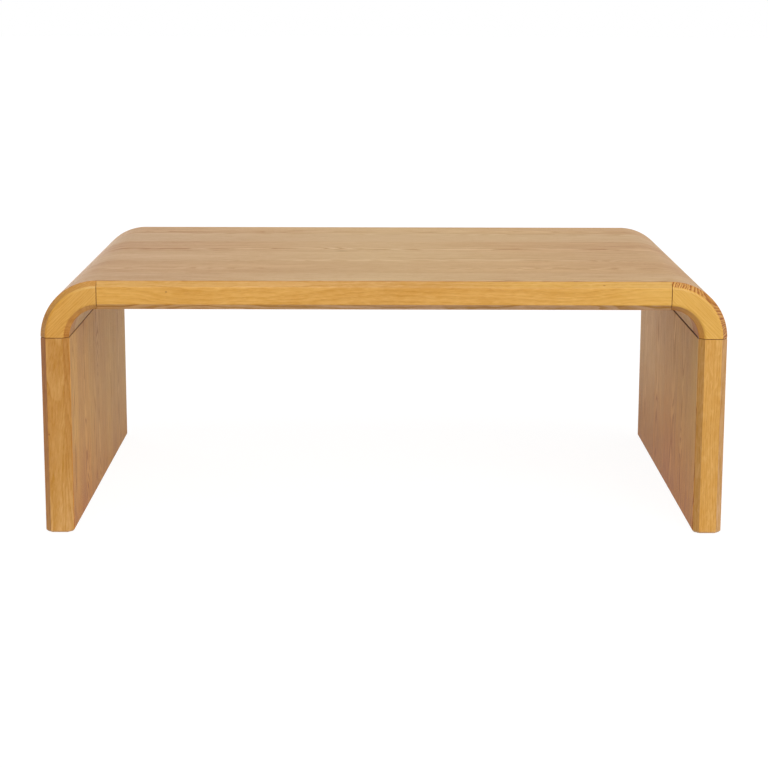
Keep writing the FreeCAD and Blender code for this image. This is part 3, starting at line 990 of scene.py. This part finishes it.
# %% [markdown]
# ### Oak
#
# The oak group puts these together, and both oak materials use it with their own colours and strengths. A
# board's colour lies between a dark, a middle and a pale one, by its tone. Everything that makes the figure
# adds up to one number: broad and fine streaks, spring wood, as clearly as the board's own ring clarity says,
# and ray flecks. It is stronger on dark boards. Darker wood isn't only darker, it is redder, so the number
# acts on green more than on red, and on blue most of all. Then come the pores, the lacquer soaked into the
# chamfers, which also paints shade, the pale grey wood from under the bark, which also paints a grey sheen,
# three pin knots and a long dark streak, and last the painted shade of the seams, with some dust in them.
#
# The same masks drive the gloss and the relief: a pore is a small dull ditch in the lacquer.
#
# The lippings are golden. The veneer is a little paler and duller, partly its own colour and partly a painted
# sheen of the top seen at a low angle.

# %% Group for oak
OAK_SLOTS = ("oak_veneer", "solid_oak")
OAK_LOOKS = {  # each for the veneer and for the solid lippings
    "Dark Board": ((0.650, 0.285, 0.045, 1), (0.450, 0.204, 0.037, 1)),
    "Middle Board": ((0.700, 0.402, 0.106, 1), (0.630, 0.314, 0.052, 1)),
    "Pale Board": ((0.720, 0.446, 0.125, 1), (0.720, 0.398, 0.064, 1)),
    "Figure Tint": ((0.60, 1.05, 1.7), (0.60, 1.05, 3.2)),
    "Ring Width": (0.0030, 0.0034), "Wander": (0.05, 0.03),
    "Broad Scale": ((2.2, 15, 15), (8, 40, 40)), "Fine Scale": ((20, 120, 120), (58, 300, 300)),
    "Broad Streaks": (0.50, 0.26), "Fine Streaks": (0.46, 0.40), "Rings": (0.14, 0.08),
    "Rays": (0.05, 0.08), "Pores": (0.6, 0.35), "Roughness": (0.52, 0.36),
}
SPECULAR = (0.15, 0.42)
# Soaked lacquer darkens and oranges machined chamfers, and the same tint paints shade low on inner faces and
# in hollows. The pale grey tint of wood from under the bark also paints the grey sheen of surfaces seen at a
# low angle.
PORE_TINT, SOAK_AND_SHADE_TINT = (0.60, 0.42, 0.30), (0.78, 0.58, 0.28)
SAPWOOD_AND_SHEEN_TINT, KNOT_TINT = (0.85, 0.92, 1.90), (0.45, 0.28, 0.12)
# The depth of a seam is painted dark brown: painted shade, with some dust.
SEAM_SHADE_COLOUR = (0.10, 0.022, 0.0003, 1)
wave_height = 2.5 * MM
mean_spring_wood = 0.35
strength_on_dark, strength_by_tone, strength_by_finish = 2.0, -1.4, 0.4
least_swing = 0.2
far_from_knots = 9.0                       # in knots' radii
pore_dullness, streak_dullness, groove_dullness = 0.25, 0.12, 0.9
pore_depth, spring_depth, fine_height = -1.0, -0.2, 0.4   # shares of the relief


def socket_kind(value):
    return {3: "Vector", 4: "Color"}[len(value)] if isinstance(value, tuple) else "Float"


oak_group, given, result = start_group(
    "oak",
    [("Grain", "Vector", None), ("Board", "Vector", (0.45, 0, 0)), ("Ring Clarity", "Float", 1.0),
     ("Groove", "Float", 0.0), *((label, socket_kind(pair[0]), None) for label, pair in OAK_LOOKS.items())],
    [("Color", "Color"), ("Roughness", "Float"), ("Height", "Float")])
tree = oak_group
wave = sway(tree, stretch(tree, given["Grain"], (22, 60, 60)), 1.0)
grain = vector(tree, "ADD", stretch(tree, wave, (0, wave_height, wave_height)), given["Grain"])
rings = use_group(tree, rings_group, {
    "Grain": grain, "Ring Width": given["Ring Width"], "Wander": given["Wander"]})
pore = use_group(tree, pores_group, {"Grain": grain, "Spring Wood": rings["Spring Wood"]})["Pore"]
fleck = use_group(tree, rays_group, {"Grain": grain, "From Heart": rings["From Heart"]})["Fleck"]
broad = noise(tree, stretch(tree, grain, given["Broad Scale"]))
fine = noise(tree, stretch(tree, grain, given["Fine Scale"]), detail=4.0, roughness=0.6)

tone, soak_and_shade, sapwood_and_sheen = add(tree, "SeparateXYZ", {0: given["Board"]}).outputs
colour = blend_colour(tree, ramp(tree, tone, 0.0, 0.5), given["Dark Board"], given["Middle Board"])
colour = blend_colour(tree, ramp(tree, tone, 0.5, 1.0), colour, given["Pale Board"])
from_mean = calc(tree, "SUBTRACT", mean_spring_wood, rings["Spring Wood"])
figure = calc(tree, "MULTIPLY", calc(tree, "MULTIPLY", from_mean, given["Rings"]), given["Ring Clarity"])
for streaks, label in ((broad, "Broad Streaks"), (fine, "Fine Streaks")):
    figure = calc(tree, "MULTIPLY_ADD", calc(tree, "SUBTRACT", streaks, 0.5), given[label], figure)
figure = calc(tree, "MULTIPLY_ADD", fleck, given["Rays"], figure)
strength = calc(tree, "MULTIPLY_ADD", tone, strength_by_tone, strength_on_dark)
finish = calc(tree, "MULTIPLY", calc(tree, "MAXIMUM", soak_and_shade, sapwood_and_sheen), strength_by_finish)
figure = calc(tree, "MULTIPLY", figure, calc(tree, "ADD", strength, finish))
swing = vector(tree, "ADD", scaled(tree, given["Figure Tint"], figure), (1, 1, 1))
colour = stretch(tree, colour, vector(tree, "MAXIMUM", swing, (least_swing,) * 3))
colour = tinted(tree, calc(tree, "MULTIPLY", pore, given["Pores"]), colour, PORE_TINT)
# These two tints are partly the wood's own and partly painted shade and painted sheen.
colour = tinted(tree, soak_and_shade, colour, SOAK_AND_SHADE_TINT)
colour = tinted(tree, sapwood_and_sheen, colour, SAPWOOD_AND_SHEEN_TINT)
nearest = far_from_knots
for place, half_length, half_width in pin_knots:
    offset = vector(tree, "SUBTRACT", given["Grain"], place)
    radii = stretch(tree, offset, (1 / half_length, 1 / half_width, 1 / half_width))
    nearest = calc(tree, "MINIMUM", nearest, vector(tree, "LENGTH", radii))
colour = tinted(tree, ramp(tree, nearest, 0.2, 1.0, 0.8, 0.0), colour, KNOT_TINT)
# Painted shade, with some dust: the depth of each seam turns dark brown.
in_groove = ramp(tree, given["Groove"], 0.1, 0.6)
plug(tree, blend_colour(tree, in_groove, colour, SEAM_SHADE_COLOUR), result["Color"])

dull = calc(tree, "MULTIPLY_ADD", pore, pore_dullness, given["Roughness"])
dull = calc(tree, "MULTIPLY_ADD", calc(tree, "SUBTRACT", broad, 0.5), streak_dullness, dull)
dusty = calc(tree, "MULTIPLY", in_groove, groove_dullness)
plug(tree, calc(tree, "MAXIMUM", dull, dusty), result["Roughness"])
height = calc(tree, "MULTIPLY_ADD", pore, pore_depth, calc(tree, "MULTIPLY", fine, fine_height))
plug(tree, calc(tree, "MULTIPLY_ADD", rings["Spring Wood"], spring_depth, height), result["Height"])
print("oak:", len(tree.nodes), "nodes")

# %% [markdown]
# ## The oak materials
#
# Every material starts and ends alike: colour, roughness and relief go to one shader.
#
# A new piece brings its grain in its attribute. The foot strips are CAD nodes without one, so their version
# of the material takes the place from the Object coordinates, turned so that the grain runs along the strip.

# %% Make the oak materials
def new_material(name, metallic=0.0):
    material = bpy.data.materials.new(name)
    material.use_nodes = True
    tree = material.node_tree
    tree.nodes["Principled BSDF"].inputs["Metallic"].default_value = metallic
    return material, tree


def finish_material(tree, colour, roughness, relief, strength, depth, specular=0.5):
    """Connects the shader. Strength and depth are those of the relief."""
    bump = add(tree, "Bump", {"Strength": strength, "Distance": depth, "Height": relief})
    sockets = tree.nodes["Principled BSDF"].inputs
    for name, source in (("Base Color", colour), ("Roughness", roughness), ("Normal", bump.outputs["Normal"]),
                         ("Specular IOR Level", specular)):
        plug(tree, source, sockets[name])


def attribute(tree, name):
    return add(tree, "Attribute", attribute_name=name, attribute_type="GEOMETRY").outputs


def oak_material(name, slot, grain=None):
    """Lacquered oak. Grain may be a function that adds its own source of the grain to the tree."""
    material, tree = new_material(name)
    marks = {"Grain": grain(tree)} if grain else {
        "Grain": attribute(tree, "grain")["Vector"], "Board": attribute(tree, "board")["Vector"],
        "Ring Clarity": attribute(tree, "rings")["Fac"], "Groove": attribute(tree, "groove")["Fac"],
    }
    which = OAK_SLOTS.index(slot)
    looks = {label: pair[which] for label, pair in OAK_LOOKS.items()}
    oak = use_group(tree, oak_group, {**marks, **looks})
    finish_material(
        tree, oak["Color"], oak["Roughness"], oak["Height"], 0.25, 0.10 * MM, specular=SPECULAR[which])
    return material


def turned_place(tree, location, turn):
    return add(tree, "Mapping", {
        "Vector": object_place(tree), "Location": location, "Rotation": turn}).outputs["Vector"]


def strip_grain(tree):
    """The foot strips were sawn with the grain along Y, 60 mm from the heart."""
    return turned_place(tree, (0.7, 0.0, 0.06), (0, 0, QUARTER_TURN))


materials = {slot: oak_material(slot, slot) for slot in OAK_SLOTS}
foot_strip_oak = oak_material("solid_oak_foot", "solid_oak", strip_grain)
print("oak materials:", sorted(materials))

# %% [markdown]
# ## The materials inside
#
# Nobody sees the frame, the boards and the bolts, but an exploded drawing of the table would show them.
# Softwood and beech reuse the growth rings on Object coordinates. Fibreboard is fine felted dust. Where the
# core shows between the veneers, in the narrow gap above each leg, its colour is darkened: painted shade for
# the shadow deep in that gap, with some dust.

# %% Make the materials inside
RAW_SPECULAR = 0.15
# The core's dark colour near the seam height is painted shade for the shadow in the gap, with some dust.
SEAM_GAP_SHADE, gap_shade_start, gap_shade_end = (0.09, 0.022, 0.001, 1), 2 * MM, 3 * MM


# Paints the shade of the gap between the veneers onto the core, by height.
def shaded_in_seam_gap(tree, colour):
    height = add(tree, "SeparateXYZ", {0: object_place(tree)}).outputs["Z"]
    off_seam = calc(tree, "ABSOLUTE", calc(tree, "SUBTRACT", height, seam_height))
    return blend_colour(tree, ramp(tree, off_seam, gap_shade_start, gap_shade_end, 1.0, 0.0), colour, SEAM_GAP_SHADE)


def inner_timber(name, early, late, turn, ring_width, shade_seam_gap=False):
    """Raw planed wood, its rings drawn on Object coordinates that are turned to lie along the piece."""
    material, tree = new_material(name)
    grain = turned_place(tree, (1.3, 0.02, 0.09), turn)
    rings = use_group(tree, rings_group, {"Grain": grain, "Ring Width": ring_width, "Wander": 0.02})
    fibre = noise(tree, stretch(tree, grain, (40, 700, 700)), detail=3.0)
    colour = blend_colour(tree, calc(tree, "MULTIPLY", rings["Spring Wood"], 0.7), early, late)
    colour = blend_colour(tree, calc(tree, "MULTIPLY", fibre, 0.35), colour, late)
    if shade_seam_gap:
        colour = shaded_in_seam_gap(tree, colour)
    roughness = ramp(tree, fibre, 0.3, 0.7, 0.62, 0.78)
    finish_material(tree, colour, roughness, fibre, 0.4, 0.2 * MM, RAW_SPECULAR)
    return material


def felted_board(name):
    material, tree = new_material(name)
    dust = noise(tree, stretch(tree, object_place(tree), (900, 900, 900)), detail=4.0, roughness=0.7)
    colour = blend_colour(tree, ramp(tree, dust, 0.3, 0.7), (0.25, 0.15, 0.075, 1), (0.40, 0.27, 0.15, 1))
    roughness = ramp(tree, dust, 0.3, 0.7, 0.8, 0.95)
    finish_material(tree, shaded_in_seam_gap(tree, colour), roughness, dust, 0.5, 0.15 * MM, RAW_SPECULAR)
    return material


materials["fibreboard"] = felted_board("fibreboard")
materials["frame_timber"] = inner_timber(
    "frame_timber", (0.62, 0.44, 0.24, 1), (0.45, 0.27, 0.11, 1), (0, 0, QUARTER_TURN), 0.004, shade_seam_gap=True)
materials["beech_dowel"] = inner_timber(
    "beech_dowel", (0.60, 0.38, 0.22, 1), (0.48, 0.27, 0.14, 1), (0, 0, 0), 0.0022)
print("with those inside:", sorted(materials))

# %% [markdown]
# Zinc plating has a fine spangle and small differences in gloss. The yellow inserts are the same with a warm
# colour. The glides are moulded plastic with a fine grain, a little scuffed on the side that slides.

# %% Make the metals and the plastic
def plated(name, bright, shadow):
    material, tree = new_material(name, metallic=1.0)
    spangle = noise(tree, stretch(tree, object_place(tree), (1400, 1400, 1400)))
    marks = noise(tree, stretch(tree, object_place(tree), (160, 160, 2600)))
    colour = blend_colour(tree, spangle, shadow, bright)
    finish_material(tree, colour, ramp(tree, marks, 0.3, 0.7, 0.28, 0.45), marks, 0.3, 0.03 * MM)
    return material


def moulded_plastic(name, fresh, scuffed):
    material, tree = new_material(name)
    grain = noise(tree, stretch(tree, object_place(tree), (2600, 2600, 2600)))
    scuffs = noise(tree, stretch(tree, object_place(tree), (300, 1800, 60)))
    height = add(tree, "SeparateXYZ", {0: object_place(tree)}).outputs["Z"]
    sole = ramp(tree, height, 0.0, glide_ease, 1.0, 0.0)
    worn = calc(tree, "MULTIPLY", ramp(tree, scuffs, 0.5, 0.65), sole)
    roughness = calc(tree, "MULTIPLY_ADD", worn, 0.2, 0.5)
    finish_material(tree, blend_colour(tree, worn, fresh, scuffed), roughness, grain, 0.3, 0.05 * MM)
    return material


materials["zinc_steel"] = plated("zinc_steel", (0.62, 0.63, 0.65, 1), (0.48, 0.49, 0.50, 1))
materials["insert_metal"] = plated("insert_metal", (0.72, 0.58, 0.30, 1), (0.52, 0.40, 0.20, 1))
materials["glide_plastic"] = moulded_plastic(
    "glide_plastic", (0.012, 0.010, 0.009, 1), (0.06, 0.055, 0.05, 1))
print("all materials:", len(materials))

# %% [markdown]
# ## Dress every piece
#
# New pieces take the material of their slot. The CAD nodes that stay take theirs from the record, where each
# node names its slot. Nothing is moved and no CAD mesh is touched: only the material slot is filled.

# %% Hand out the materials
for piece, slot in pieces.values():
    piece.data.materials.append(materials[slot])

slot_of_node = {row["node"]: row["material_slot"] for row in frame["record"]["subparts"]}
for node, part in frame["nodes"].items():
    material = foot_strip_oak if node.endswith("_foot_strip") else materials[slot_of_node[node]]
    for material_slot in part.material_slots:
        material_slot.material = material
print("dressed", len(pieces), "new pieces and", len(frame["nodes"]), "CAD nodes")

# %% [markdown]
# ## The studio
#
# The photograph was taken in a white studio. A large soft lamp stands at the front right, a little above the
# table, so chamfers that face the left are darker. Three weaker ones fill in: from high in front, from the
# upper left, and from low at the rear left, which reaches the inner side of the right leg. Two lit walls,
# behind the table and to its right, give the rest.
#
# A sun lamp with a wide disc stands for each soft lamp: its light doesn't fall off, so the table keeps its
# brightness from end to end. The world gives the light of the walls. What the camera and the gloss see of
# the world is plain white, which Light Path sorts out.

# %% Light the studio
LAMPS = {  # the way to the lamp, its strength, and its width in degrees
    "soft_lamp": ((0.24, -0.90, 0.37), 1.74, 50),
    "ceiling_lamp": ((0.10, -0.60, 0.80), 0.54, 60),
    "left_lamp": ((-0.35, -0.45, 0.82), 0.46, 50),
    "rear_lamp": ((-0.62, 0.76, 0.18), 1.15, 40),
}
REAR_WALL, RIGHT_WALL = ((0, 1, 0), 0.46), ((1, 0, 0), 1.08)

for name, (towards_lamp, strength, width) in LAMPS.items():
    data = bpy.data.lights.new(name, "SUN")
    data.energy = strength
    data.angle = math.radians(width)
    light = new_object(name, data)
    light.rotation_euler = Vector(towards_lamp).to_track_quat("Z", "Y").to_euler()

world = bpy.data.worlds.new("studio")
bpy.context.scene.world = world
world.use_nodes = True
tree = world.node_tree
tree.nodes.clear()
direction = add(tree, "TexCoord").outputs["Generated"]


def lit_wall(towards, strength):
    """Light from one side of the room, strongest straight from there."""
    facing = vector(tree, "DOT_PRODUCT", direction, towards)
    return calc(tree, "MULTIPLY", calc(tree, "MAXIMUM", facing, 0.0), strength)


walls = calc(tree, "ADD", lit_wall(*REAR_WALL), lit_wall(*RIGHT_WALL))
room = add(tree, "Background", {"Strength": walls})
white = add(tree, "Background", {"Color": (1, 1, 1, 1), "Strength": 1.0})


def sees_white(tree):
    """1 for the rays that should meet plain white: from the camera, off gloss and through glass."""
    path = add(tree, "LightPath").outputs
    either = calc(tree, "MAXIMUM", path["Is Camera Ray"], path["Is Glossy Ray"])
    return calc(tree, "MAXIMUM", either, path["Is Transmission Ray"])


mixed = add(tree, "MixShader", {0: sees_white(tree), 1: room.outputs[0], 2: white.outputs[0]})
add(tree, "OutputWorld", {"Surface": mixed.outputs[0]})
print(len(LAMPS), "soft lamps and a white world")

# %% [markdown]
# The floor is pale and keeps a faint soft shadow. To the camera and in gloss it is mostly white glow with a
# little diffuse light on top, so only the shadow dims it. To the light that bounces it is a plain pale grey,
# and from below it is clear, so that the underside of the table can be looked at.

# %% Lay the floor
half_floor = 30
SHADE, GLOW, BOUNCE = (0.16, 0.16, 0.16, 1), 0.93, (0.75, 0.75, 0.75, 1)

board = bmesh.new()
bmesh.ops.create_grid(board, x_segments=1, y_segments=1, size=half_floor)
mesh = bpy.data.meshes.new("floor")
board.to_mesh(mesh)
board.free()
floor = new_object("floor", mesh)

material, tree = new_material("floor")
mesh.materials.append(material)
tree.nodes.clear()
shade = add(tree, "BsdfDiffuse", {"Color": SHADE})
glow = add(tree, "Emission", {"Color": (1, 1, 1, 1), "Strength": GLOW})
seen = add(tree, "AddShader", {0: shade.outputs[0], 1: glow.outputs[0]})
bounce = add(tree, "BsdfDiffuse", {"Color": BOUNCE})
above = add(tree, "MixShader", {0: sees_white(tree), 1: bounce.outputs[0], 2: seen.outputs[0]})
clear = add(tree, "BsdfTransparent")
below = add(tree, "NewGeometry").outputs["Backfacing"]
both = add(tree, "MixShader", {0: below, 1: above.outputs[0], 2: clear.outputs[0]})
add(tree, "OutputMaterial", {"Surface": both.outputs[0]})
bpy.context.scene.view_settings.view_transform = "Standard"
print("floor", round(floor.dimensions.x), "m wide")
